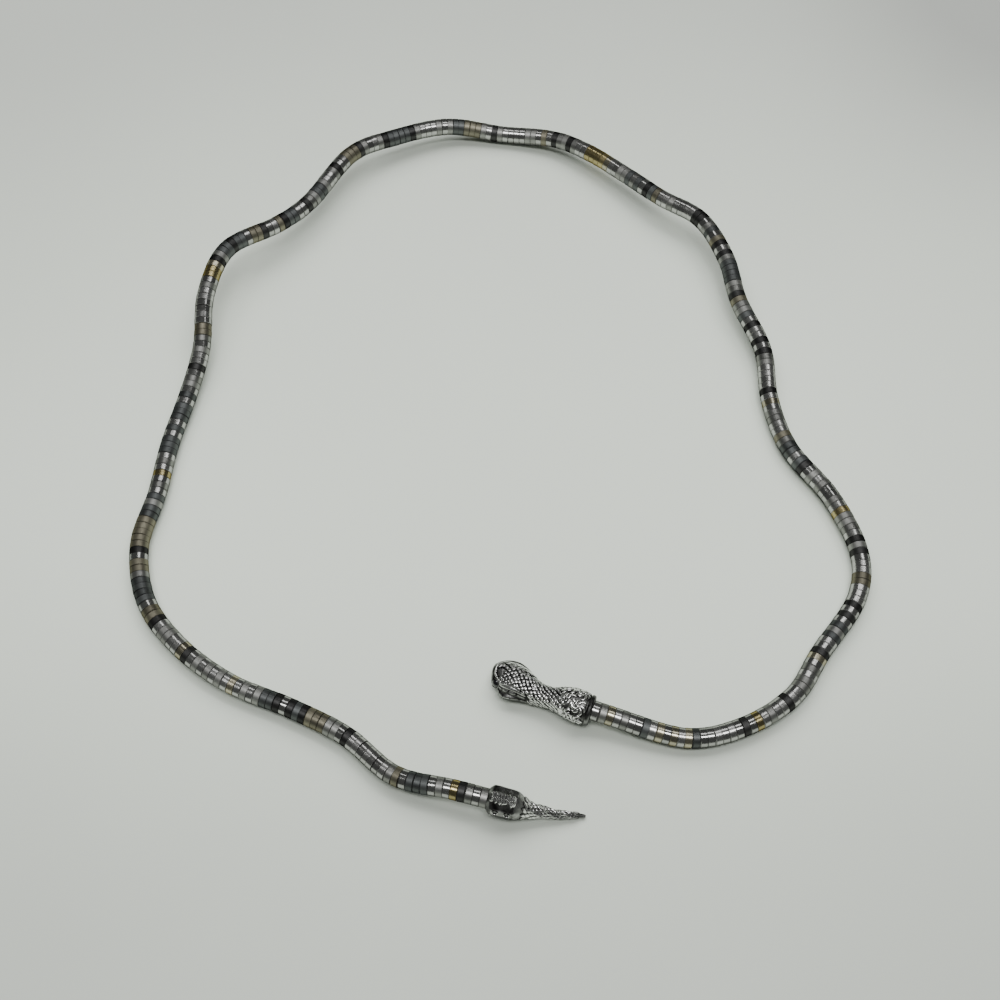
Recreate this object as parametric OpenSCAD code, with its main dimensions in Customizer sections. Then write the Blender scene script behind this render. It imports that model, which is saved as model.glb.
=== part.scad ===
// Snake necklace: a bendable chain of short bands that lies in an open loop,
// with a cast snake's head on one end and a cast tail on the other.
// Origin: on the floor, under the middle of the whole outline. +Z is up.

/* [Chain] */
// Outer diameter of the chain
chain_d = 6.9; // [5:0.1:7]
// Sides of the swept tube
chain_sides = 12; // [8:12]
// Length of chain that sits inside each collar
seat = 3.2; // [2:0.1:4]
// Clearance between the chain and its sockets
gap = 0.2; // [0.1:0.05:0.4]

/* [Head] */
// Radius of the head's collar at its fullest
head_collar_r = 5.3; // [4.8:0.1:5.6]
// Height of the scales on the neck and the crown
scale_h = 0.32; // [0:0.02:0.5]
// Height of the leaves on the collars
leaf_h = 0.4; // [0:0.05:0.6]

/* [Eyes] */
// Radius of an eye stone
eye_r = 1.55; // [1.2:0.05:1.8]
// How far the dome of an eye stands above its rim
eye_dome = 0.9; // [0.4:0.1:1.2]

/* [Tail] */
// Radius of the tail's collar at its fullest, across the corners
tail_collar_r = 4.95; // [4.6:0.05:5.6]
// Radius of the blunt tip
tip_r = 0.7; // [0.5:0.1:1]
// Turn of the ridges for each millimetre of the cone
twist = 13; // [0:20]

/* [Hidden] */

chain_r = chain_d / 2;
bore_r = chain_r + gap;

// Height of the rim behind the head's collar
rear_rim_h = 0.3;
// Height of the chain's underside at each end: the leaves of the head's collar just clear the
// floor, and so does the tip of the tail, which drops below the chain's line
tail_drop = 5.95;
head_clear = head_collar_r + max(leaf_h, rear_rim_h) + 0.15 - chain_r;
tail_clear = tail_drop + tip_r + 0.1 - chain_r;

// Route of the chain's centre line from the tail to the head:
// [x, y, clear height of the chain's underside above the floor]
route = [
    [-0.5, -144.3, tail_clear], [-14.5, -140.6, tail_clear], [-34.2, -135.2, 1.2], [-51, -121.6, 0],
    [-70.1, -111.9, 0], [-91.7, -102.9, 0], [-110.3, -89.5, 0], [-123.7, -72.6, 0],
    [-128.7, -51.1, 0], [-125, -30.2, 0], [-122.7, -8.7, 0], [-118.2, 11.9, 1],
    [-114.6, 31.5, 4], [-114.2, 53.3, 9], [-107.7, 74.8, 10], [-89.5, 89.5, 7.2],
    [-77.3, 102.7, 6], [-62.2, 127.5, 6], [-44.9, 138.6, 4.3], [-21.9, 146.5, 2.7],
    [1, 144.8, 0], [22.9, 140.5, 1.6], [37.6, 131.4, 3.3], [52.2, 118.8, 4],
    [66.6, 104.7, 5.5], [81.6, 92.9, 6.2], [90.3, 73.5, 6], [94, 53.4, 4.5],
    [101.7, 31.7, 2.5], [102.7, 10, 0.5], [108, -11.1, 0], [121, -31.5, 0],
    [128.4, -53.7, 0], [125.2, -72, 0], [110.4, -92, 0], [99.6, -107.4, 0],
    [82.2, -118.2, 0], [62.1, -122.3, 0], [37, -115.4, head_clear], [28.2, -112.3, head_clear]
];

// Smooth curve through the rows of a table, n steps from each row to the next
function between(a, b, c, d, t) =
    0.5 * (2 * b + (c - a) * t + (2 * a - 5 * b + 4 * c - d) * t * t
    + (3 * b - a - 3 * c + d) * t * t * t);
function smooth(rows, n) =
    let (m = len(rows) - 1)
    let (all = concat([2 * rows[0] - rows[1]], rows, [2 * rows[m] - rows[m - 1]]))
    concat(
        [for (i = [0:m - 1]) for (k = [0:n - 1])
            between(all[i], all[i + 1], all[i + 2], all[i + 3], k / n)],
        [rows[m]]);

// The same round a closed outline
function smooth_loop(rows, n) =
    let (m = len(rows))
    [for (i = [0:m - 1]) for (k = [0:n - 1])
        between(rows[(i + m - 1) % m], rows[i], rows[(i + 1) % m], rows[(i + 2) % m], k / n)];

function unit(v) = v / norm(v);

// Closed skin over a list of rings with equal counts, with a point at each end
function ring_faces(n, m) =
    [for (i = [0:m - 2]) for (j = [0:n - 1]) for (f = [0, 1])
        let (a = i * n + j, b = i * n + (j + 1) % n)
        f == 0 ? [a, b + n, b] : [a, a + n, b + n]];
module skin(rings, start, end) {
    n = len(rings[0]);
    m = len(rings);
    points = concat([for (r = rings) for (p = r) p], [start, end]);
    first_fan = [for (j = [0:n - 1]) [n * m, j, (j + 1) % n]];
    last_fan = [for (j = [0:n - 1]) [n * m + 1, (m - 1) * n + (j + 1) % n, (m - 1) * n + j]];
    polyhedron(points, concat(ring_faces(n, m), first_fan, last_fan), convexity = 8);
}

// Ring of n points of radius r round the local X axis, at x
function round_ring(x, r, n) = [for (j = [0:n - 1]) [x, r * cos(j * 360 / n), r * sin(j * 360 / n)]];

// Places a casting whose local origin is the middle of its collar's open face, with +X away
// from the chain, and whose socket floor takes the end of the chain
function face_centre(chain_end, chain_next) =
    let (dir = unit(chain_end - chain_next))
    chain_end - dir * seat;
module on_chain_end(chain_end, chain_next) {
    dir = unit(chain_end - chain_next);
    translate(face_centre(chain_end, chain_next))
        rotate([0, -asin(dir.z), atan2(dir.y, dir.x)])
            children();
}
function lifted(p) = [p.x, p.y, chain_r + max(0, p.z)];
tail_end = lifted(route[0]);
tail_next = lifted(route[1]);
head_end = lifted(route[len(route) - 1]);
head_next = lifted(route[len(route) - 2]);

// Ring chain: the tube that the bands fill
chain_steps = 2;
module ring_chain() {
    line = [for (p = smooth(route, chain_steps)) lifted(p)];
    m = len(line) - 1;
    rings = [for (i = [0:m])
        let (along = unit(line[min(i + 1, m)] - line[max(i - 1, 0)]))
        let (side = unit(cross([0, 0, 1], along)))
        let (up = cross(along, side))
        [for (j = [0:chain_sides - 1])
            let (a = j * 360 / chain_sides)
            line[i] + chain_r * (cos(a) * side + sin(a) * up)]];
    color("slategray") skin(rings, line[0], line[m]);
}

// Head: sections from the collar's open face to the snout. Widths are half widths, heights are
// above the floor, and a positive roll turns the crown to the right.
// columns: x, bend, roll, crown z, brow w, brow z, lip w, lip z, jaw w, jaw z, underside z
axis_z = head_end.z;
corner = sqrt(0.5);
function round_row(x, bend, r) =
    let (k = corner * r)
    [x, bend, 0, axis_z + r, k, axis_z + k, r, axis_z, k, axis_z - k, axis_z - r];
head_rows = [
    round_row(0, 0.45, head_collar_r - 0.25),
    round_row(3, 0.35, head_collar_r),
    round_row(6, 0.15, head_collar_r),
    round_row(9, 0.1, head_collar_r - 0.45),
    [12, 0.3, 0, 9.6, 3.0, 8.6, 3.9, 5.6, 2.9, 2.8, 1.6],
    [15, 0.45, 0, 8.9, 2.5, 8.0, 3.3, 5.2, 2.6, 2.4, 1.4],
    [18, 0.35, 0, 8.7, 2.5, 7.9, 3.3, 5.0, 2.9, 2.4, 1.3],
    [21, 0, 5, 8.8, 2.8, 8.0, 4.0, 5.1, 3.7, 2.7, 1.0],
    [24, -0.8, 10, 9.0, 3.1, 8.3, 5.1, 5.4, 5.5, 3.1, 0.7],
    [27, -1.5, 12, 8.9, 3.2, 8.4, 5.9, 5.5, 6.9, 3.3, 0.5],
    [30, -2.0, 8, 8.5, 3.1, 8.1, 5.9, 5.2, 7.1, 3.2, 0.4],
    [33, -1.9, 7, 7.9, 3.0, 7.6, 5.0, 5.0, 5.9, 3.1, 0.5],
    [35.3, -1.2, 6, 7.1, 2.4, 6.9, 3.6, 4.7, 3.9, 3.0, 0.9]
];
head_steps = 5;
head_around = 48;

// Raised pattern on the head, in millimetres, at a step along and a step around: diamond scales
// four steps wide on the neck, leaves and a rear rim on the collar, lines round the plate, and
// the mouth. Steps around start at the lip on the side of the left eye.
leaf_from = 2.2;
leaf_length = 7.4;
leaf_pitch = 45;
leaf_curl = 40;
leaf_half = 17;
leaf_vein = 2.5;
plate_lines = [3, 5, 19, 21];
mouth_line = [27, 45];
mouth_edge = [26, 46];
function scale_bump(i, j) =
    let (u = i % 4, v = j % 4)
    let (d = min(min(u, 4 - u) + min(v, 4 - v), abs(u - 2) + abs(v - 2)))
    max(0, 1 - d / 2);
function ramp(x, a, b) = max(0, min(1, (x - a) / (b - a)));
function leaf_bump(x, a) =
    let (p = (x - leaf_from) / leaf_length)
    let (turn = ((a + 360 - leaf_curl * p * p) % leaf_pitch) - leaf_pitch / 2)
    let (half = leaf_half * pow(max(0, sin(180 * max(0, min(1, p)))), 0.6))
    half < 1 ? 0 : max(0, 1 - pow(turn / half, 2)) * (abs(turn) < leaf_vein ? 0.55 : 1);
function rim_bump(x) = x < 0.3 ? -0.15 : x < 1.4 ? rear_rim_h : x < 2 ? -0.25 : 0;
function head_relief(i, j) =
    let (x = head_line[i][0], a = j * 360 / head_around)
    let (neck = ramp(x, 11, 13) * (1 - ramp(x, 29, 31)))
    let (crown = sin(a) > -0.45 ? 1 : 0.35)
    let (face = ramp(x, 23, 26))
    let (mouth = len(search(j, mouth_line)) > 0 ? -0.5 : len(search(j, mouth_edge)) > 0 ? -0.25 : 0)
    let (lines = len(search(j, plate_lines)) > 0 ? -0.3 : 0)
    rim_bump(x) + leaf_h * leaf_bump(x, a) + neck * crown * scale_h * scale_bump(i, j)
    + face * (mouth + lines);

function head_outline(row) =
    let (z = [row[3], row[5], row[7], row[9], row[10], row[9], row[7], row[5]])
    let (w = [0, row[4], row[6], row[8], 0, -row[8], -row[6], -row[4]])
    smooth_loop([for (k = [2, 1, 0, 7, 6, 5, 4, 3]) [w[k], z[k] - row[7]]], head_around / 8);

head_line = smooth(head_rows, head_steps);
head_last = len(head_line) - 1;
function head_turn(i) =
    let (a = head_line[max(i - 1, 0)], b = head_line[min(i + 1, head_last)])
    atan2(b[1] - a[1], b[0] - a[0]);
function head_ring(i, shrink, forward) =
    let (row = head_line[i], outline = head_outline(row), turn = head_turn(i))
    [for (j = [0:head_around - 1])
        let (p = outline[j])
        let (lift = forward == 0 ? head_relief(i, j) : 0)
        let (q = (p + unit(p) * lift) * shrink)
        let (w = q[0] * cos(row[2]) - q[1] * sin(row[2]))
        let (h = q[0] * sin(row[2]) + q[1] * cos(row[2]))
        [row[0] + forward * cos(turn) - w * sin(turn),
            row[1] + forward * sin(turn) + w * cos(turn),
            h + row[7] - axis_z]];

// The snout's rounding, in front of the last row
snout = 0.9;
module head_form() {
    socket = [round_ring(seat + gap, bore_r, head_around), round_ring(0, bore_r, head_around)];
    body = [for (i = [0:head_last]) head_ring(i, 1, 0)];
    nose = [for (k = [1:4]) head_ring(head_last, cos(k * 20), snout * sin(k * 20))];
    turn = head_turn(head_last);
    tip = [head_line[head_last][0] + snout * cos(turn), head_line[head_last][1] + snout * sin(turn),
        head_line[head_last][7] - axis_z];
    skin(concat(socket, body, nose), [seat + gap, 0, 0], tip);
}

// Eye seats, on each side of the head's own middle line
eye_station = 33;
eye_along = 1.7;
eye_across = 3.35;
eye_drop = 0.7;
eye_roll = 10;
eye_yaw = 43;
eye_pitch = 18;
eye_depth = 0.8;
rim_w = 0.45;
rim_depth = 2;
eye_play = 0.05;
module at_eye(side) {
    bend = lookup(eye_station, [for (r = head_rows) [r[0], r[1]]]);
    translate([eye_station, bend, 0])
        rotate([0, 0, head_turn(head_last)]) rotate([eye_roll, 0, 0])
            translate([eye_along, side * eye_across, -eye_drop])
                rotate([0, 90 - eye_pitch, side * eye_yaw])
                    children();
}
module eye_stone() {
    dome_r = (eye_r * eye_r + eye_dome * eye_dome) / (2 * eye_dome);
    intersection() {
        translate([0, 0, eye_dome - dome_r]) sphere(dome_r, $fn = 48);
        translate([0, 0, -eye_depth]) cylinder(h = eye_depth + eye_dome, r = eye_r, $fn = 48);
    }
}
module eye_rim() {
    rotate_extrude($fn = 48) {
        translate([0, -rim_depth]) square([eye_r + rim_w, rim_depth]);
        translate([eye_r + rim_w / 2, 0]) circle(rim_w / 2, $fn = 24);
    }
}
module eye_hole() {
    translate([0, 0, -eye_depth - eye_play])
        cylinder(h = 4, r = eye_r + eye_play, $fn = 48);
}

module snake_head() {
    color("silver") on_chain_end(head_end, head_next)
        difference() {
            union() {
                head_form();
                for (side = [-1, 1]) at_eye(side) eye_rim();
            }
            for (side = [-1, 1]) at_eye(side) eye_hole();
        }
}
module left_eye() {
    color("black") on_chain_end(head_end, head_next) at_eye(1) eye_stone();
}
module right_eye() {
    color("black") on_chain_end(head_end, head_next) at_eye(-1) eye_stone();
}

// Tail: sections along its own line, from the collar's open face to the blunt tip
// columns: x, bend, drop below the socket's axis, radius, how faceted
tail_lip_r = max(tail_collar_r - 1.2, bore_r + 0.35);
tail_rows = [
    [0, 0.1, 0, tail_lip_r, 1],
    [1.2, 0.15, 0, tail_collar_r, 1],
    [5, 0.15, 0.2, tail_collar_r, 1],
    [9.6, 0.35, 0.9, tail_collar_r - 0.3, 1],
    [13.2, 0.4, 1.9, 2.45, 0.2],
    [16, 0.75, 2.6, 1.85, 0],
    [19, 1.25, 3.3, 1.35, 0],
    [22.5, 1.75, 4.1, 1.0, 0],
    [26, 2.65, 4.8, 0.75, 0],
    [31.4, 3.95, tail_drop, tip_r, 0]
];
tail_around = 40;
tail_steps = 4;
facets = 10;
ridges = 5;
ridge_h = 0.4;
tail_line = smooth(tail_rows, tail_steps);
tail_last = len(tail_line) - 1;

// A faceted collar's radius, as a share of its radius across the corners
function facet_share(a) =
    let (half = 180 / facets)
    cos(half) / cos((a % (2 * half)) - half);
function tail_relief(x, a) =
    let (cone = ramp(x, 11.5, 14) * (1 - ramp(x, 27, 31)))
    let (ridge = pow(0.5 + 0.5 * cos(ridges * (a - twist * x)), 2))
    let (leaf = x > 2.4 && x < 10 && a > 100 && a < 140 ? 0.3 * abs(sin(80 * (x - 2.4))) : 0)
    cone * ridge_h * ridge + leaf;
module tail() {
    socket = [round_ring(seat + gap, bore_r, tail_around), round_ring(0, bore_r, tail_around)];
    body = [for (i = [0:tail_last])
        let (row = tail_line[i])
        [for (j = [0:tail_around - 1])
            let (a = j * 360 / tail_around)
            let (faceted = 1 - row[4] + row[4] * facet_share(a))
            let (r = row[3] * faceted + tail_relief(row[0], a))
            [row[0], row[1] + r * cos(a), r * sin(a) - row[2]]]];
    end = tail_line[tail_last];
    cap = 0.6 * tip_r;
    nose = [for (k = [1:3])
        [for (j = [0:tail_around - 1])
            let (a = j * 360 / tail_around)
            let (r = tip_r * cos(k * 26))
            [end[0] + cap * sin(k * 26), end[1] + r * cos(a), r * sin(a) - end[2]]]];
    color("silver") on_chain_end(tail_end, tail_next)
        skin(concat(socket, body, nose), [seat + gap, 0, 0],
            [end[0] + cap, end[1], -end[2]]);
}

snake_head();
left_eye();
right_eye();
ring_chain();
tail();
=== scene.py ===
import math
import random

import bmesh
import bpy
from mathutils import Matrix, Vector


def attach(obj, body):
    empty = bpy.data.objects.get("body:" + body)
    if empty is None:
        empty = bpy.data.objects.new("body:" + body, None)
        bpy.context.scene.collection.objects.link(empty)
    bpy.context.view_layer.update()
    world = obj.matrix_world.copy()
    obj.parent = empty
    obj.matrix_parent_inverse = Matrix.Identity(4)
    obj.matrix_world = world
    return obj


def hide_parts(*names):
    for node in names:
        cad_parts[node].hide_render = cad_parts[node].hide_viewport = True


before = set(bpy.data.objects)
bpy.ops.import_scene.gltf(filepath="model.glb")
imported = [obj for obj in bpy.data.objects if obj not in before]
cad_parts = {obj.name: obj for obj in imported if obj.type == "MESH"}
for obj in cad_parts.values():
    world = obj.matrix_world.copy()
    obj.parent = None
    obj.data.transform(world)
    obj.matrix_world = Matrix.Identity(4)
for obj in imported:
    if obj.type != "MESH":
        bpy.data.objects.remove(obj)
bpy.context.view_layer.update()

scene = bpy.context.scene

# Camera
# Stands high above the floor in front of the free ends, and looks down at the middle of the loop.
looks_down_deg = 62
camera_data = bpy.data.cameras.new("camera")
camera_data.sensor_width = 36
camera_data.lens = 46.8
camera = bpy.data.objects.new("camera", camera_data)
camera.location = (0.0003, -0.25521, 0.42192)
camera.rotation_euler = (math.radians(90 - looks_down_deg), 0, 0)
scene.collection.objects.link(camera)
scene.camera = camera


# Floor
# A sheet of matt pale board with a faint green-grey cast, lying flat under the necklace.
# It is not part of the object.
class Wire:
    """A value that a finish computes. Arithmetic on it adds Math nodes."""

    def __init__(self, finish, socket):
        self.finish = finish
        self.socket = socket

    def math(self, operation, *values):
        sockets = dict(enumerate(values))
        return self.finish.node("Math", sockets, operation=operation)

    def __add__(self, other):
        return self.math("ADD", self, other)

    def __radd__(self, other):
        return self.math("ADD", other, self)

    def __sub__(self, other):
        return self.math("SUBTRACT", self, other)

    def __rsub__(self, other):
        return self.math("SUBTRACT", other, self)

    def __mul__(self, other):
        return self.math("MULTIPLY", self, other)

    def __rmul__(self, other):
        return self.math("MULTIPLY", other, self)

    def __pow__(self, other):
        return self.math("POWER", self, other)

    def __abs__(self):
        return self.math("ABSOLUTE", self)

    def rise(self, low, high):
        """0 below low, 1 above high, and a smooth rise between them."""
        sockets = {0: self, 1: low, 2: high}
        return self.finish.node("MapRange", sockets, interpolation_type="SMOOTHSTEP")


class Finish:
    """A material in the making, round its Principled surface."""

    def __init__(self, name, **surface):
        self.material = bpy.data.materials.new(name)
        self.material.use_nodes = True
        self.tree = self.material.node_tree
        self.surface = self.tree.nodes["Principled BSDF"]
        self.wear(**surface)

    def feed(self, node, socket, value):
        if isinstance(value, Wire):
            self.tree.links.new(value.socket, node.inputs[socket])
        elif isinstance(value, tuple) and len(value) == 3 and node.inputs[socket].type == "RGBA":
            node.inputs[socket].default_value = (*value, 1)
        else:
            node.inputs[socket].default_value = value

    def node(self, kind, sockets=None, output=0, **settings):
        node = self.tree.nodes.new("ShaderNode" + kind)
        for setting, value in settings.items():
            setattr(node, setting, value)
        for socket, value in (sockets or {}).items():
            self.feed(node, socket, value)
        return Wire(self, node.outputs[output])

    def place(self):
        return self.node("TexCoord", output="Object")

    def noise(self, vector, scale, detail=2):
        return self.node("TexNoise", {"Vector": vector, "Scale": scale, "Detail": detail})

    def attribute(self, name):
        return self.node("Attribute", output="Fac", attribute_name=name)

    def mix(self, amount, first, second, blend="MIX"):
        sockets = {0: amount, 6: first, 7: second}
        return self.node("Mix", sockets, output=2, data_type="RGBA", blend_type=blend)

    def bump(self, height, distance, strength):
        sockets = {"Height": height, "Distance": distance, "Strength": strength}
        return self.node("Bump", sockets)

    def wear(self, **surface):
        """Feeds sockets of the surface, each named with _ for a space."""
        for socket, value in surface.items():
            self.feed(self.surface, socket.replace("_", " "), value)


def finish_piece(piece, finish):
    piece.data.materials.clear()
    piece.data.materials.append(finish.material)


def deselect():
    if bpy.context.object and bpy.context.object.mode == "EDIT":
        bpy.ops.object.mode_set(mode="OBJECT")
    bpy.ops.object.select_all(action="DESELECT")


deselect()
bpy.ops.mesh.primitive_plane_add(size=6, location=(0, 0, 0))
floor = bpy.context.object
floor.name = "floor"

board = Finish("pale_board", Roughness=0.62)
board_place = board.place()
board_tone = board.noise(board_place, scale=9, detail=3)
board_grain = board.noise(board_place, scale=1600)
board_x = board.node("SeparateXYZ", {0: board_place}, output=0)
board_y = board.node("SeparateXYZ", {0: board_place}, output=1)
away = (board_x ** 2 + board_y ** 2) ** 0.5
# Painted shade: it gets darker away from the middle, at the back and the front, and in the far
# right corner, where less light falls, and a random tone lies over it
painted_shade_and_tone = 0.25 * away.rise(0.10, 0.30) + 0.46 * board_y.rise(-0.06, 0.26)
painted_shade_and_tone = painted_shade_and_tone + 0.28 * (-1 * board_y).rise(0.05, 0.19) + 0.12 * (board_tone - 0.5)
painted_shade_and_tone = painted_shade_and_tone + 0.45 * board_x.rise(0.10, 0.26) * board_y.rise(0.08, 0.24)
lit = (0.730, 0.790, 0.697)
unlit = (0.350, 0.365, 0.340)
board.wear(Base_Color=board.mix(painted_shade_and_tone, lit, unlit))
board.wear(Normal=board.bump(board_grain, distance=0.00002, strength=0.3))
finish_piece(floor, board)


# Light
# Soft light from high behind the necklace, so that the shadows fall towards the viewer, in a
# dim room. What the metal mirrors is a narrow pane of it and a long lamp overhead, as the twin
# bright lines along the polished bands.
def soft_light(name, place, length, width, power, mirrored=True):
    data = bpy.data.lights.new(name, "AREA")
    data.shape = "RECTANGLE"
    data.size = length
    data.size_y = width
    data.energy = power
    lamp = bpy.data.objects.new(name, data)
    lamp.location = place
    lamp.rotation_euler = Vector(place).to_track_quat("Z", "Y").to_euler()
    lamp.visible_glossy = mirrored
    scene.collection.objects.link(lamp)


soft_light("window", (0, 1.35, 1.75), length=3.2, width=1.7, power=78, mirrored=False)
soft_light("pane", (0.4, 1.0, 1.95), length=2.0, width=0.3, power=6)
soft_light("lamp", (0, -0.4, 2.2), length=1.6, width=0.45, power=25)

room = bpy.data.worlds.new("room")
room.use_nodes = True
walls = room.node_tree.nodes["Background"].inputs
walls["Color"].default_value = (0.97, 1, 0.97, 1)
walls["Strength"].default_value = 0.10
scene.world = room


# Ring chain
# A flexible chain of short metal bands, each pressed from sheet and plated in one finish.
# The back of each band is drawn in to a neck that slides into the front of the next one,
# so the chain bends by closing the seams on one side and opening them on the other.

# The necklace's sizes are in millimetres, and MM is one of them in the scene's metres. The seat is
# how deep each end of the chain sits in its collar.
MM = 0.001
chain_r = 3.45
seat = 3.2
ring_count = 338
curve_steps = 24

# The chain's route from the tail to the head, in millimetres: x, y, clear height
route = [
    (-0.5, -144.3, 3.3), (-14.5, -140.6, 3.3), (-34.2, -135.2, 1.2), (-51, -121.6, 0),
    (-70.1, -111.9, 0), (-91.7, -102.9, 0), (-110.3, -89.5, 0), (-123.7, -72.6, 0),
    (-128.7, -51.1, 0), (-125, -30.2, 0), (-122.7, -8.7, 0), (-118.2, 11.9, 1),
    (-114.6, 31.5, 4), (-114.2, 53.3, 9), (-107.7, 74.8, 10), (-89.5, 89.5, 7.2),
    (-77.3, 102.7, 6), (-62.2, 127.5, 6), (-44.9, 138.6, 4.3), (-21.9, 146.5, 2.7),
    (1, 144.8, 0), (22.9, 140.5, 1.6), (37.6, 131.4, 3.3), (52.2, 118.8, 4),
    (66.6, 104.7, 5.5), (81.6, 92.9, 6.2), (90.3, 73.5, 6), (94, 53.4, 4.5),
    (101.7, 31.7, 2.5), (102.7, 10, 0.5), (108, -11.1, 0), (121, -31.5, 0),
    (128.4, -53.7, 0), (125.2, -72, 0), (110.4, -92, 0), (99.6, -107.4, 0),
    (82.2, -118.2, 0), (62.1, -122.3, 0), (37, -115.4, 2.4), (28.2, -112.3, 2.4),
]


def between(a, b, c, d, t):
    """The smooth curve from b to c, on its way from a to d."""
    return 0.5 * (2 * b + (c - a) * t + (2 * a - 5 * b + 4 * c - d) * t * t
                  + (3 * b - a - 3 * c + d) * t * t * t)


def smooth(rows, steps):
    """Points on the curve through the rows, with steps of them from each row to the next."""
    rows = [Vector(row) for row in rows]
    rows = [2 * rows[0] - rows[1]] + rows + [2 * rows[-1] - rows[-2]]
    line = [between(*rows[i:i + 4], k / steps) for i in range(len(rows) - 3) for k in range(steps)]
    return line + [rows[-2]]


chain_line = [Vector((p.x, p.y, chain_r + max(0, p.z))) for p in smooth(route, curve_steps)]
chain_length = sum((b - a).length for a, b in zip(chain_line, chain_line[1:]))
pitch = (chain_length - 2 * seat) / ring_count


def chain_places(distances):
    """The point and the direction of the chain's centre line at each distance from the tail. The
    direction is taken over a few steps to both sides."""
    places = []
    spread = 6
    passed = 0
    step = 0
    for distance in distances:
        while passed + (chain_line[step + 1] - chain_line[step]).length < distance:
            passed += (chain_line[step + 1] - chain_line[step]).length
            step += 1
        a, b = chain_line[step], chain_line[step + 1]
        point = a.lerp(b, (distance - passed) / (b - a).length)
        behind = chain_line[max(step + 1 - spread, 0)]
        ahead = chain_line[min(step + spread, len(chain_line) - 1)] - behind
        places.append((point, ahead.normalized()))
    return places


# One band, along X: the radius at each place from its front lip to the end of its neck
ring_sides = 14
edge_drop = 0.13
neck_drop = 0.4
ring_profile = [(-1.16, chain_r - edge_drop), (-1.04, chain_r), (1.05, chain_r),
                (1.17, chain_r - edge_drop), (1.72, chain_r - neck_drop)]
deselect()
bpy.ops.mesh.primitive_circle_add(
    vertices=ring_sides, radius=ring_profile[0][1] * MM,
    location=(ring_profile[0][0] * MM, 0, 0), rotation=(0, math.radians(90), 0))
band = bpy.context.object
band.name = "band"
bpy.ops.object.transform_apply(location=True, rotation=True, scale=True)
bpy.ops.object.mode_set(mode="EDIT")
bpy.ops.mesh.select_all(action="SELECT")
for (x, r), (next_x, next_r) in zip(ring_profile, ring_profile[1:]):
    bpy.ops.mesh.extrude_region_move(TRANSFORM_OT_translate={"value": ((next_x - x) * MM, 0, 0)})
    bpy.ops.transform.resize(value=(1, next_r / r, next_r / r), center_override=(next_x * MM, 0, 0))
bpy.ops.mesh.select_all(action="DESELECT")
bpy.ops.mesh.select_non_manifold()
bpy.ops.mesh.bridge_edge_loops()
bpy.ops.mesh.select_all(action="SELECT")
bpy.ops.mesh.normals_make_consistent(inside=False)
bpy.ops.object.mode_set(mode="OBJECT")
bpy.ops.object.shade_smooth_by_angle(angle=math.radians(40))

# Each band keeps its own place along the band, and a number of its own for its shade
along = band.data.attributes.new("along", "FLOAT", "POINT")
along.data.foreach_set("value", [v.co.x / MM for v in band.data.vertices])
band.data.attributes.new("shade", "FLOAT", "POINT")

# The stringing order from the tail to the head, ten bands to a group: P polished, K black,
# G grey, D dark blue, B pale gilt, Y yellow gold, Z bronze
stringing = """
GPGKYPGPDD DPZGPPPPPP PKPGGZZZKD KPKDDGPGPB PGPGPGPKBP PGGPKZZPDD DDGZZPKZZZ ZZDDGDPGPY
PGPDDDPDPD DDPDPGGPKP PGPGZZPPPP PPGPYYBKGD DKDDPZZKPP ZKDDPPKGGD DGPPGKPPZZ ZKGPPGKDDD
DKGPPPGPGD DZZZGPKGPP PPGGPZPKGG KGPPYYYYBP PGGDGDPKDZ PPGPPPPKKP GDPZKPKGDD DDGGKZGGDP
KPPKPKGGPP PPKPBPGGPP ZGDDPDKPGP GPPGPYGGGP KGKPPPZZPP PKPKPDGDPP KBPGPGGPPK PPGPYPKPPP
PPPDBPBPBP DPPGPBGP
"""
stringing = "".join(stringing.split())

# Plating: colour of the metal, its roughness, and how far the roughness varies between bands
platings = {
    "P": ("polished_bands", (0.50, 0.50, 0.486), 0.16, 0.14),
    "K": ("black_bands", (0.075, 0.075, 0.074), 0.42, 0.10),
    "G": ("grey_bands", (0.36, 0.362, 0.345), 0.40, 0.16),
    "D": ("blue_grey_bands", (0.155, 0.164, 0.163), 0.46, 0.12),
    "B": ("gilt_bands", (0.50, 0.465, 0.35), 0.19, 0.10),
    "Y": ("yellow_gold_bands", (0.46, 0.39, 0.20), 0.22, 0.10),
    "Z": ("bronze_bands", (0.28, 0.262, 0.20), 0.43, 0.12),
}
# Dark of tarnish and of painted shade, for the seams between bands
seam_tarnish_and_shade = (0.012, 0.011, 0.010)

chance = random.Random(11)
tilt_most = math.radians(1.8)
narrowest = 0.972
# One more band at each end is out of sight in its collar
distances = [seat + (k + 0.5) * pitch for k in range(-1, ring_count + 1)]
order = stringing[0] + stringing + stringing[-1]
strung = {letter: [] for letter in platings}
for letter, (point, ahead) in zip(order, chain_places(distances)):
    side = Vector((0, 0, 1)).cross(ahead).normalized()
    up = ahead.cross(side)
    turn = Matrix((ahead, side, up)).transposed()
    lean = Matrix.Rotation(chance.uniform(-tilt_most, tilt_most), 3, "Y")
    lean = lean @ Matrix.Rotation(chance.uniform(-tilt_most, tilt_most), 3, "Z")
    one = band.copy()
    one.data = band.data.copy()
    width = chance.uniform(narrowest, 1.0)
    fit = Matrix.Diagonal((1, width, width))
    one.data.transform(Matrix.Translation(point * MM) @ (turn @ lean @ fit).to_4x4())
    shade = [chance.random()] * len(one.data.vertices)
    one.data.attributes["shade"].data.foreach_set("value", shade)
    scene.collection.objects.link(one)
    strung[letter].append(one)

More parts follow.
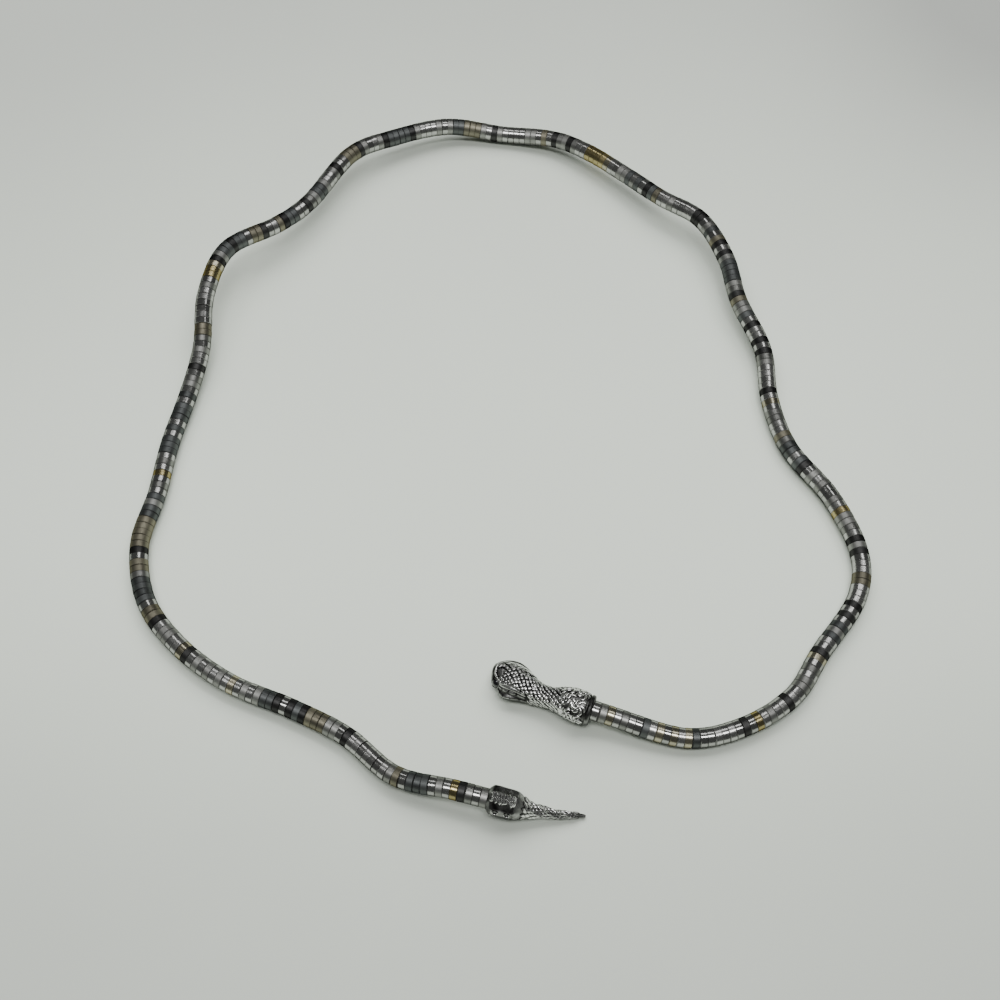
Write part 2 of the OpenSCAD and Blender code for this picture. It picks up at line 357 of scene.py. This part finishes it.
for letter, (name, colour, roughness, spread) in platings.items():
    deselect()
    for one in strung[letter]:
        one.select_set(True)
    bpy.context.view_layer.objects.active = strung[letter][0]
    bpy.ops.object.join()
    bands = bpy.context.object
    bands.name = name

    plate = Finish(name, Metallic=1.0, Specular_Tint=(0.0, 0.0, 0.0))
    place = plate.place()
    shade = plate.attribute("shade")
    # Each band darkens at its lips, with tarnish and painted shade in the seams between bands
    seam = abs(plate.attribute("along")).rise(0.98, 1.14)
    smudge = plate.noise(place, scale=900, detail=3)
    tone = 0.78 + 0.34 * shade
    grey = plate.node("CombineColor", {0: tone, 1: tone, 2: tone})
    bright = plate.mix(1.0, colour, grey, "MULTIPLY")
    plate.wear(
        Base_Color=plate.mix(seam * 0.4, bright, seam_tarnish_and_shade),
        Roughness=roughness + spread * (shade - 0.3) + 0.12 * (smudge - 0.4) + 0.25 * seam)
    lathe_place = plate.node("CombineXYZ", {0: plate.attribute("along"), 1: shade * 40})
    lathe = plate.noise(lathe_place, scale=14)
    plate.wear(Normal=plate.bump(lathe, distance=0.00002, strength=0.35))
    finish_piece(bands, plate)
    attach(bands, "root")
    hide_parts("ring_chain")
bpy.data.objects.remove(band)


# Snake head
# One casting in white metal, silver plated and then darkened, so that black stays in its
# hollows. Its collar has a socket where the chain's end is glued in, and behind the collar's
# curled leaves come a scaled neck and a flat head with a seat for an eye on each side.
def casting_frame(end, following):
    """From a casting's own millimetres to the scene: its origin is the middle of its collar's
    open face, and +X runs away from the chain."""
    end, following = (Vector((p[0], p[1], chain_r + p[2])) for p in (end, following))
    ahead = (end - following).normalized()
    side = Vector((0, 0, 1)).cross(ahead).normalized()
    turn = Matrix((ahead, side, ahead.cross(side))).transposed().to_4x4()
    return Matrix.Translation((end - ahead * seat) * MM) @ turn @ Matrix.Scale(MM, 4)


def drawn_out(name, sections):
    """A closed shell, made from a circle that is extruded once for each further section and
    set to that section's points. Its ends are filled and poked, and it stays in edit mode."""
    deselect()
    bpy.ops.mesh.primitive_circle_add(vertices=len(sections[0]), radius=1, fill_type="NGON")
    piece = bpy.context.object
    piece.name = name
    bpy.ops.object.mode_set(mode="EDIT")
    bpy.ops.mesh.select_all(action="SELECT")
    shell = bmesh.from_edit_mesh(piece.data)
    ring = [v.index for v in shell.verts]
    for k, section in enumerate(sections):
        if k:
            bpy.ops.mesh.extrude_region_move()
            shell = bmesh.from_edit_mesh(piece.data)
            shell.verts.index_update()
            shell.verts.ensure_lookup_table()
            ring = [next(e.other_vert(shell.verts[i]).index for e in shell.verts[i].link_edges
                         if e.other_vert(shell.verts[i]).select) for i in ring]
        shell.verts.ensure_lookup_table()
        for i, point in zip(ring, section):
            shell.verts[i].co = point
    for face in shell.faces:
        face.select = len(face.verts) > 4
    bpy.ops.mesh.poke()
    bpy.ops.mesh.select_all(action="SELECT")
    bpy.ops.mesh.normals_make_consistent(inside=False)
    bpy.ops.mesh.select_all(action="DESELECT")
    return piece


def round_section(x, radius, sides):
    turns = [k * math.tau / sides for k in range(sides)]
    return [Vector((x, radius * math.cos(a), radius * math.sin(a))) for a in turns]


def edit_select(piece, wanted):
    """Selects the faces that wanted() picks, in edit mode, and says how many there are."""
    shell = bmesh.from_edit_mesh(piece.data)
    for part in (shell.faces, shell.edges, shell.verts):
        for item in part:
            item.select = False
    picked = [face for face in shell.faces if wanted(face)]
    for face in picked:
        face.select_set(True)
    shell.select_flush_mode()
    bmesh.update_edit_mesh(piece.data)
    return len(picked)


def raise_faces(piece, wanted, edge, height, shade):
    """Insets the picked faces by edge, raises them by height and marks how light they are in the relief.
    """
    if not edit_select(piece, wanted):
        return
    bpy.ops.mesh.inset(thickness=edge, depth=height, use_even_offset=False)
    shell = bmesh.from_edit_mesh(piece.data)
    relief = shell.verts.layers.float.get("relief") or shell.verts.layers.float.new("relief")
    for vert in shell.verts:
        if vert.select:
            vert[relief] = shade
    bmesh.update_edit_mesh(piece.data)


def subdivide_smooth(piece, levels):
    smooth_over = piece.modifiers.new("smooth", "SUBSURF")
    smooth_over.levels = levels
    smooth_over.render_levels = levels
    bpy.context.view_layer.objects.active = piece
    bpy.ops.object.modifier_apply(modifier="smooth")


# The socket is this much wider and deeper than the chain's end
gap = 0.2
bore_r = chain_r + gap
head_frame = casting_frame(route[-1], route[-2])
head_axis_z = chain_r + route[-1][2]
collar_r = 5.3
around = 24


def round_row(x, bend, radius):
    """A round section, in the columns of the table below."""
    corner = math.sqrt(0.5) * radius
    return (x, bend, 0, head_axis_z + radius, corner, head_axis_z + corner, radius, head_axis_z,
            corner, head_axis_z - corner, head_axis_z - radius)


# Sections of the head: x, bend, roll, crown z, brow w, brow z, lip w, lip z, jaw w, jaw z,
# underside z, with half widths and heights above the floor
head_rows = [
    round_row(0, 0.45, collar_r - 0.25), round_row(3, 0.35, collar_r),
    round_row(6, 0.15, collar_r), round_row(9, 0.1, collar_r - 0.45),
    (12, 0.3, 0, 9.6, 3.0, 8.6, 3.9, 5.6, 2.9, 2.8, 1.6),
    (15, 0.45, 0, 8.9, 2.5, 8.0, 3.3, 5.2, 2.6, 2.4, 1.4),
    (18, 0.35, 0, 8.7, 2.5, 7.9, 3.3, 5.0, 2.9, 2.4, 1.3),
    (21, 0, 5, 8.8, 2.8, 8.0, 4.0, 5.1, 3.7, 2.7, 1.0),
    (24, -0.8, 10, 9.0, 3.1, 8.3, 5.1, 5.4, 5.5, 3.1, 0.7),
    (27, -1.5, 12, 8.9, 3.2, 8.4, 5.9, 5.5, 6.9, 3.3, 0.5),
    (30, -2.0, 8, 8.5, 3.1, 8.1, 5.9, 5.2, 7.1, 3.2, 0.4),
    (33, -1.9, 7, 7.9, 3.0, 7.6, 5.0, 5.0, 5.9, 3.1, 0.5),
    (35.3, -1.2, 6, 7.1, 2.4, 6.9, 3.6, 4.7, 3.9, 3.0, 0.9),
]
head_last = head_rows[-1][0]


def row_at(rows, x):
    """The smooth row of a table at x, between the rows that it lies between."""
    k = max(i for i in range(len(rows) - 1) if i == 0 or rows[i][0] <= x)
    four = [rows[max(k - 1, 0)], rows[k], rows[k + 1], rows[min(k + 2, len(rows) - 1)]]
    t = (x - rows[k][0]) / (rows[k + 1][0] - rows[k][0])
    return [x] + [between(*values, t) for values in list(zip(*four))[1:]]


def head_turn(x):
    """The angle of the head's bent middle line at x, taken over a short stretch."""
    reach = 0.6
    before = row_at(head_rows, max(x - reach, 0))
    after = row_at(head_rows, min(x + reach, head_last))
    return math.atan2(after[1] - before[1], after[0] - before[0])


def head_point(x, step, swell=0.0, shrink=1.0, forward=0.0):
    """A point of the head's surface at x. Its steps, 24 to a turn, start at the lip on the left
    eye's side and go round over the crown."""
    row = row_at(head_rows, x)
    bend, roll, crown, brow_w, brow_z, lip_w, lip_z, jaw_w, jaw_z, base = row[1:]
    corners = [(lip_w, lip_z), (brow_w, brow_z), (0, crown), (-brow_w, brow_z),
               (-lip_w, lip_z), (-jaw_w, jaw_z), (0, base), (jaw_w, jaw_z)]
    corner, part = divmod(step % around * 8 / around, 1)
    four = [corners[(int(corner) + k) % 8] for k in (-1, 0, 1, 2)]
    w, z = (between(*values, part) for values in zip(*four))
    out = Vector((w, z - lip_z))
    out = (out + out.normalized() * swell) * shrink
    turn, roll = head_turn(x), math.radians(roll)
    w = out.x * math.cos(roll) - out.y * math.sin(roll)
    h = out.x * math.sin(roll) + out.y * math.cos(roll)
    return Vector((
        x + forward * math.cos(turn) - w * math.sin(turn),
        bend + forward * math.sin(turn) + w * math.cos(turn), h + lip_z - head_axis_z))


def head_section(*place):
    x, *rest = place
    return [head_point(x, step, *rest) for step in range(around)]


# Stations along the collar, with how far its rear rim and the groove beside it stand out
collar_stations = [(0, -0.25), (0.15, 0.12), (0.45, 0.3), (1.15, 0.3), (1.45, 0.1),
                   (1.65, -0.22), (2.1, -0.22), (2.35, 0)]
neck_stations = [3.5, 4.7, 5.9, 7.1, 8.3, 9.5, 10.6, 12, 14, 16, 18, 20]
face_stations = [21.5, 23, 24.5, 26, 27.5, 29, 30.5, 32, 33.2, 34.3, head_last]
# The snout's round end goes this far past the last station
snout = 0.9

head_sections = [round_section(seat + gap, bore_r, around), round_section(0, bore_r, around)]
head_sections += [head_section(x, swell) for x, swell in collar_stations]
head_sections += [head_section(x) for x in neck_stations + face_stations]
for degrees in (20, 40, 60, 80):
    a = math.radians(degrees)
    head_sections.append(head_section(head_last, 0, math.cos(a), snout * math.sin(a)))
head = drawn_out("snake_head_casting", head_sections)


def cage_key(point):
    return tuple(round(c, 3) for c in point)


def cage_of(sections):
    """Where each point of a shell belongs: its section, and its step round that section."""
    return {cage_key(p): (i, j) for i, section in enumerate(sections) for j, p in enumerate(section)}


cage = cage_of(head_sections)


def cage_place(vert):
    return cage.get(cage_key(vert.co))


def on_cage(face, low, high, columns):
    """True if the face spans sections low to high and lies in one of the columns."""
    places = [cage_place(v) for v in face.verts]
    if len(places) != 4 or None in places:
        return False
    sections = [p[0] for p in places]
    steps = sorted({p[1] for p in places})
    column = steps[0] if steps[-1] - steps[0] == 1 else steps[-1]
    return low <= min(sections) and max(sections) <= high and column in columns


# A rib over each lip, a row of plates along it, the plate on the snout, the sunk line of the
# mouth, and the belly plates, each on its own columns of the shell's faces
rib_columns = (1, 10)
lip_columns = (0, 11)
snout_columns = range(4, 7)
mouth_columns = (23, 12)
belly_columns = range(13, 23)
first_face = 2 + len(collar_stations) + len(neck_stations)
last_face = first_face + len(face_stations) - 1
for column in rib_columns:
    raise_faces(head, lambda f: on_cage(f, first_face, last_face - 1, (column,)),
                edge=0.22, height=0.32, shade=0.75)
for column in lip_columns:
    for low in range(first_face, last_face - 2, 2):
        raise_faces(head, lambda f: on_cage(f, low, low + 2, (column,)),
                    edge=0.24, height=0.22, shade=0.6)
raise_faces(head, lambda f: on_cage(f, last_face - 3, last_face - 1, snout_columns),
            edge=0.14, height=0.12, shade=0.6)
for column in mouth_columns:
    raise_faces(head, lambda f: on_cage(f, first_face - 1, last_face, (column,)),
                edge=0.2, height=-0.24, shade=0.4)
for low in range(first_face - 1, last_face - 1, 2):
    raise_faces(head, lambda f: on_cage(f, low, low + 2, belly_columns),
                edge=0.16, height=0.1, shade=0.48)
bpy.ops.object.mode_set(mode="OBJECT")
subdivide_smooth(head, 2)


def laid(template, place):
    """A copy of a template with each of its points put where place() says."""
    piece = template.copy()
    piece.data = template.data.copy()
    for vert in piece.data.vertices:
        vert.co = place(*vert.co)
    scene.collection.objects.link(piece)
    return piece


def keep_relief(piece, relief_at):
    """Gives each point its height in the relief, from 0 for a hollow to 1 for a worn crest."""
    data = piece.data.attributes
    relief = data.get("relief") or data.new("relief", "FLOAT", "POINT")
    kept = [item.value for item in relief.data]
    values = [max(old, relief_at(v.co)) for old, v in zip(kept, piece.data.vertices)]
    relief.data.foreach_set("value", values)


def kite(z, size):
    """A level of the scale: a round-sided kite from x = 0 to 1, and from y = -0.5 to 0.5."""
    corners = 8
    pinch = 1.4
    points = []
    for k in range(corners):
        a = k * math.tau / corners
        x, y = (math.copysign(abs(c) ** pinch, c) for c in (math.cos(a), math.sin(a)))
        points.append(Vector((0.5 + 0.5 * size * x, 0.5 * size * y, z)))
    return points


# One scale, highest along its keel, and one strand, from x = 0 to 1 with a radius of 1: both
# are laid on the castings many times
scale = drawn_out("scale", [kite(-1, 1.04), kite(0.1, 1.0), kite(0.75, 0.72), kite(1.0, 0.34)])
bpy.ops.object.mode_set(mode="OBJECT")
keep_relief(scale, lambda p: max(0, min(1, 1.1 * p.z * abs(p.z))))
strand_rings = [round_section(k / 11, radius=1, sides=8) for k in range(12)]
strand = drawn_out("strand", strand_rings)
bpy.ops.object.mode_set(mode="OBJECT")
keep_relief(strand, lambda p: max(0, min(1, 0.1 + 0.95 * p.z)))


def scale_at(surface, x, step, length, width, lean, height):
    """A scale whose front is at x and whose raised back corner points at the collar."""
    def place(u, v, z):
        h = height * (0.55 + 0.45 * u) * z if z > 0 else 0.4 * z
        return surface(x - u * length, step + v * width + lean * u, h)
    return laid(scale, place)


def strand_at(surface, x, step, heading, length, curl, half_width, height, step_mm, bead=0.0):
    """A strand that leaves x, step at heading, and turns by curl over its length, both in
    degrees. It swells from its root and tapers to its tip, with four beads if bead isn't 0.
    step_mm is the surface's width over one step."""
    heading, curl = math.radians(heading), math.radians(curl)
    parts = 8
    beads = 4
    sunk = 0.06

    def place(t, c, s):
        along = across = 0.0
        for k in range(parts):
            turned_by = heading + curl * t * (k + 0.5) / parts
            along += length * t / parts * math.cos(turned_by)
            across += length * t / parts * math.sin(turned_by)
        half = half_width * (0.15 + 0.85 * math.sin(math.pi * (0.03 + 0.94 * t)) ** 0.7)
        half *= 1 + bead * math.cos(t * math.tau * beads)
        now = heading + curl * t
        along -= half * c * math.sin(now)
        across += half * c * math.cos(now)
        lift = height * (0.5 + 0.5 * half / half_width) * s - sunk
        return surface(x + along, step + across / step_mm, lift)
    return laid(strand, place)


leaves_end = 11
keep_relief(head, lambda p: 0.34 if p.x < leaves_end else 0.3)
head_parts = [head]
chance = random.Random(5)

# Scales in staggered rows: all round the neck, and on the crown between the lip ribs, except
# on the snout's plate. They lean over on the neck, and stand straight on the crown.
first_row_x = 34.5
row_pitch = 0.98
scale_rows = 24
scales_round = 16
scale_steps = around / scales_round
jaw_x = 21.2
plate_x = 32.6
neck_lean = -0.9
for row in range(scale_rows):
    x = first_row_x - row * row_pitch
    for k in range(scales_round):
        step = k * scale_steps + (scale_steps / 2 if row % 2 else 0)
        on_plate = x > plate_x and 3.8 < step < 7.3
        on_crown = 2.1 < step < 9.9 and not on_plate
        if x > jaw_x and not on_crown:
            continue
        lean = neck_lean * min(1, max(0, (23 - x) / 4))
        lean += chance.uniform(-0.25, 0.25)
        size = chance.uniform(0.86, 1.08)
        head_parts.append(scale_at(
            head_point, x + chance.uniform(-0.12, 0.12), step + chance.uniform(-0.14, 0.14),
            length=2.05 * row_pitch * size, width=scale_steps * size, lean=lean,
            height=chance.uniform(0.24, 0.62)))

# The rim in front of the snout's plate, a brow over each eye, and a loop at each jaw corner
head_parts.append(strand_at(
    head_point, 33.0, 1.9, heading=40, length=9.3, curl=100,
    half_width=0.36, height=0.45, step_mm=1.05))
for direction, start in ((1, 0), (-1, 12)):
    head_parts.append(strand_at(
        head_point, 29.2, start + direction * 2.1, heading=0, length=4.8, curl=direction * -12,
        half_width=0.4, height=0.5, step_mm=1.2))
    head_parts.append(strand_at(
        head_point, 20.1, start - direction * 0.9, heading=0, length=4.0, curl=direction * 330,
        half_width=0.3, height=0.45, step_mm=1.1))

# Two rows of curled leaves round the collar, each a whorl of lobes that turn the same way, and
# beside them the curled ends of the neck's leaves
collar_mm = collar_r * math.tau / around
root_mm = 0.25
leaves_round = 6
lobes = 6
leaf_ends = 12
for x, start in ((4.4, 0.4), (8.4, 1.4)):
    for k in range(leaves_round):
        middle = start + k * around / leaves_round
        for lobe in range(lobes):
            heading = lobe * 360 / lobes + 12 * k
            out_x = root_mm * math.cos(math.radians(heading))
            out_step = root_mm * math.sin(math.radians(heading)) / collar_mm
            head_parts.append(strand_at(
                head_point, x + out_x, middle + out_step, heading=heading,
                length=3.7 if lobe % 2 else 3.1, curl=150,
                half_width=0.56, height=0.5, step_mm=collar_mm, bead=0.05))
for k in range(leaf_ends):
    for heading, curl, root_step in ((165, -150, 1.1), (195, 150, 0.9)):
        head_parts.append(strand_at(
            head_point, 11.2, k * around / leaf_ends + root_step, heading=heading, length=3.6, curl=curl,
            half_width=0.5, height=0.5, step_mm=collar_mm, bead=0.05))


# Eye seats: a cup with a rolled rim on each side of the snout
eye_r = 1.55
rim_w = 0.45
play = 0.05
eye_station = 33
eye_along, eye_across, eye_drop = 1.7, 3.35, 0.7
eye_roll, eye_yaw, eye_pitch = 10, 43, 18


def eye_frame(side):
    """From an eye's own frame, with +Z out of the head, to the head's."""
    bend = row_at(head_rows, eye_station)[1]
    return (Matrix.Translation((eye_station, bend, 0))
            @ Matrix.Rotation(head_turn(head_last), 4, "Z")
            @ Matrix.Rotation(math.radians(eye_roll), 4, "X")
            @ Matrix.Translation((eye_along, side * eye_across, -eye_drop))
            @ Matrix.Rotation(math.radians(side * eye_yaw), 4, "Z")
            @ Matrix.Rotation(math.radians(90 - eye_pitch), 4, "Y"))


def turned(name, profile, sides):
    """A closed turned shape along +Z: profile holds the height and radius of each ring."""
    sections = [[Vector((p.y, p.z, z)) for p in round_section(z, r, sides)] for z, r in profile]
    return drawn_out(name, sections)


cup = [(-2.0, 1.9), (-0.1, eye_r + rim_w), (0.1, eye_r + rim_w - 0.04), (0.22, eye_r + 0.3),
       (0.22, eye_r + 0.15), (0.1, eye_r + 0.06), (-0.3, eye_r + play), (-0.84, eye_r + play)]
for side in (-1, 1):
    seat_cup = turned("eye_seat", cup, sides=32)
    bpy.ops.object.mode_set(mode="OBJECT")
    seat_cup.data.transform(eye_frame(side))
    keep_relief(seat_cup, lambda p: 0.45)
    head_parts.append(seat_cup)


def join_parts(parts):
    deselect()
    for part in parts:
        part.select_set(True)
    bpy.context.view_layer.objects.active = parts[0]
    bpy.ops.object.join()
    return bpy.context.object


head = join_parts(head_parts)
bpy.ops.object.shade_smooth_by_angle(angle=math.radians(50))
head.data.transform(head_frame)

# Silver on the crests and black in the hollows. Painted shade darkens the parts low down near the
# floor, so that most of the silver is high up
cast = Finish("cast_silver", Metallic=1.0)
cast_place = cast.place()
relief = cast.attribute("relief")
pits = cast.noise(cast_place, scale=2400, detail=4)
cloud = cast.noise(cast_place, scale=420, detail=3)
patch = cast.noise(cast_place, scale=150)
height = cast.node("SeparateXYZ", {0: cast_place}, output=2)
wear_and_painted_shade = (relief * 0.95 + 0.5 * (cloud - 0.5) + 0.5 * (patch - 0.5) + 0.03).rise(0.2, 1.0)
# Painted shade: the castings are darker low down, near the floor
wear_and_painted_shade = wear_and_painted_shade * (0.5 + 0.5 * height.rise(0.001, 0.006))
tarnish_and_painted_shade = (0.015, 0.015, 0.014)
silver = (0.90, 0.90, 0.88)
cast.wear(
    Base_Color=cast.mix(wear_and_painted_shade, tarnish_and_painted_shade, silver),
    Roughness=0.40 - 0.22 * wear_and_painted_shade + 0.16 * (pits - 0.5),
    Normal=cast.bump(pits, distance=0.00006, strength=0.5))
finish_piece(head, cast)
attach(head, "root")
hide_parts("snake_head")


# Eyes
# Two black glass stones, domed and flat backed, set in the cups on both sides of the snout.
# Each stands on a girdle that fills its cup.
stone = Finish("black_stone", Base_Color=(0.006, 0.006, 0.007), Coat_Weight=0.6)
haze = stone.noise(stone.place(), scale=700)
stone.wear(Roughness=0.06 + 0.08 * haze)
girdle = [(-0.8, 1.45), (-0.7, eye_r)]
dome = 0.9
dome_r = (eye_r ** 2 + dome ** 2) / (2 * dome)
domed = [(dome - dome_r + math.sqrt(dome_r ** 2 - (eye_r * s) ** 2), eye_r * s)
         for s in (1, 0.93, 0.82, 0.68, 0.5, 0.3, 0.1)]
for side, node in ((1, "left_eye"), (-1, "right_eye")):
    eye = turned(node + "_stone", girdle + domed, sides=40)
    bpy.ops.object.mode_set(mode="OBJECT")
    eye.data.transform(head_frame @ eye_frame(side))
    bpy.ops.object.shade_smooth_by_angle(angle=math.radians(40))
    finish_piece(eye, stone)
    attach(eye, "root")
    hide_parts(node)


# Tail
# One casting in the same darkened metal: a collar with ten flat sides, two of them with a spray
# of leaves and two with a pair of rings, and a cone of twisted, scaled ridges with a blunt tip.
tail_frame = casting_frame(route[0], route[1])
tail_r = 4.95
tip_r = 0.7
cone_x = 11.5
cone_start = 13.6
twist = math.radians(13)

# Sections of the tail: x, bend, drop, radius, how faceted
tail_rows = [
    (0, 0.1, 0, tail_r - 1.15, 1), (1.2, 0.15, 0, tail_r, 1), (5, 0.15, 0.2, tail_r, 1),
    (9.6, 0.35, 0.9, tail_r - 0.3, 1), (13.2, 0.4, 1.9, 2.45, 0.2), (16, 0.75, 2.6, 1.85, 0),
    (19, 1.25, 3.3, 1.35, 0), (22.5, 1.75, 4.1, 1.0, 0), (26, 2.65, 4.8, 0.75, 0),
    (31.4, 3.95, 5.95, tip_r, 0),
]
tail_sides = 20
facets = tail_sides // 2
ridge_steps = 4


def tail_point(x, step, swell=0.0, shrink=1.0):
    """A point of the tail's surface: the corners of its collar lie on the even steps, 20 to a
    turn, and past the collar the steps turn with the ridges."""
    bend, drop, radius, faceted = row_at(tail_rows, x)[1:]
    ridged = min(1, max(0, (x - cone_x) / 2.5)) * min(1, max(0, (31 - x) / 4))
    a = step * math.tau / tail_sides + twist * max(0, x - cone_x)
    flat = 1 - (1 - math.cos(math.pi / facets)) * (1 - abs(step % 2 - 1))
    ridge = (0.5 + 0.5 * math.cos(step * math.tau / ridge_steps)) ** 2
    r = radius * (1 - faceted + faceted * flat) + 0.4 * ridge * ridged + swell
    return Vector((x, bend + r * shrink * math.cos(a), r * shrink * math.sin(a) - drop))


def tail_section(*place):
    x, *rest = place
    return [tail_point(x, step, *rest) for step in range(tail_sides)]


lip_stations = [0, 0.35, 0.8, 1.2]
flat_stations = [1.5, 3.5, 5.5, 7.5, 9.3]
shoulder_stations = [9.6, 10.4, 11.2, 12.0, 12.8]
cone_stations = [cone_start + 0.95 * k for k in range(19)]
tail_sections = [round_section(seat + gap, bore_r, tail_sides), round_section(0, bore_r, tail_sides)]
tail_sections += [tail_section(x) for x in
                  lip_stations + flat_stations + shoulder_stations + cone_stations]
tail_last = tail_rows[-1][0]
for degrees in (26, 52, 78):
    a = math.radians(degrees)
    tail_sections.append(tail_section(tail_last + 0.6 * tip_r * math.sin(a), 0, math.cos(a)))
tail = drawn_out("tail_casting", tail_sections)

# The collar's corners stay sharp when the shell is smoothed
cage = cage_of(tail_sections)
first_flat = 2 + len(lip_stations)
last_flat = first_flat + len(flat_stations) - 1
corner_crease = 0.75
# How light the relief is on five flat sides, one after the other, and the other five again
facet_lightness = (0.3, 0.45, 0.34, 0.3, 0.5)
shell = bmesh.from_edit_mesh(tail.data)
crease = shell.edges.layers.float.get("crease_edge") or shell.edges.layers.float.new("crease_edge")
for edge in shell.edges:
    (i, j), (m, n) = (cage_place(v) or (0, 1) for v in edge.verts)
    if j == n and j % 2 == 0 and first_flat - 1 <= min(i, m) and max(i, m) <= last_flat + 1:
        edge[crease] = corner_crease
bmesh.update_edit_mesh(tail.data)
for side in range(facets):
    columns = (2 * side, 2 * side + 1)
    raise_faces(tail, lambda f: on_cage(f, first_flat, last_flat, columns),
                edge=0.3, height=-0.1, shade=facet_lightness[side % 5])
bpy.ops.object.mode_set(mode="OBJECT")
subdivide_smooth(tail, 2)


def tail_wear(point):
    """How worn the tail's shell is: its collar, its shoulder, its cone and its tip."""
    for end, worn_here in ((9, 0.34), (13, 0.5), (29.5, 0.2)):
        if point.x < end:
            return worn_here
    return 0.5


keep_relief(tail, tail_wear)
tail_parts = [tail]

# Leaf sprays on two flat sides, each with a stem and curled lobes, and rings on two others
side_mm = tail_r * math.tau / tail_sides
leaf_facets = (2, 7)
ring_facets = (4, 9)
for side in leaf_facets:
    middle = 2 * side + 1.3
    tail_parts.append(strand_at(
        tail_point, 1.6, middle, heading=0, length=7.8, curl=0,
        half_width=0.3, height=0.4, step_mm=side_mm))
    for k in range(9):
        for direction in (1, -1):
            x = 1.5 + 0.86 * k + (0.4 if direction == 1 else 0)
            length = chance.uniform(1.8, 2.3)
            heading = direction * chance.uniform(30, 55)
            curl = direction * chance.uniform(40, 160)
            tail_parts.append(strand_at(
                tail_point, x, middle, heading=heading, length=length, curl=curl,
                half_width=0.42, height=0.46, step_mm=side_mm))
for side in ring_facets:
    for x in (3.4, 7.2):
        tail_parts.append(strand_at(
            tail_point, x, 2 * side + 0.2, heading=0, length=5.2, curl=340,
            half_width=0.24, height=0.4, step_mm=side_mm))

# Scales along the cone's twisted ridges
cone_row_pitch = 1.08
cone_rows = 16
for row in range(cone_rows):
    x = cone_start + row * cone_row_pitch
    for k in range(facets):
        step = 2 * k + (1 if row % 2 else 0)
        tail_parts.append(scale_at(tail_point, x, step, length=2.3, width=2.05, lean=0,
                                   height=chance.uniform(0.3, 0.62)))
tail = join_parts(tail_parts)
bpy.ops.object.shade_smooth_by_angle(angle=math.radians(45))
tail.data.transform(tail_frame)
finish_piece(tail, cast)
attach(tail, "root")
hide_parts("tail")
bpy.data.objects.remove(scale)
bpy.data.objects.remove(strand)
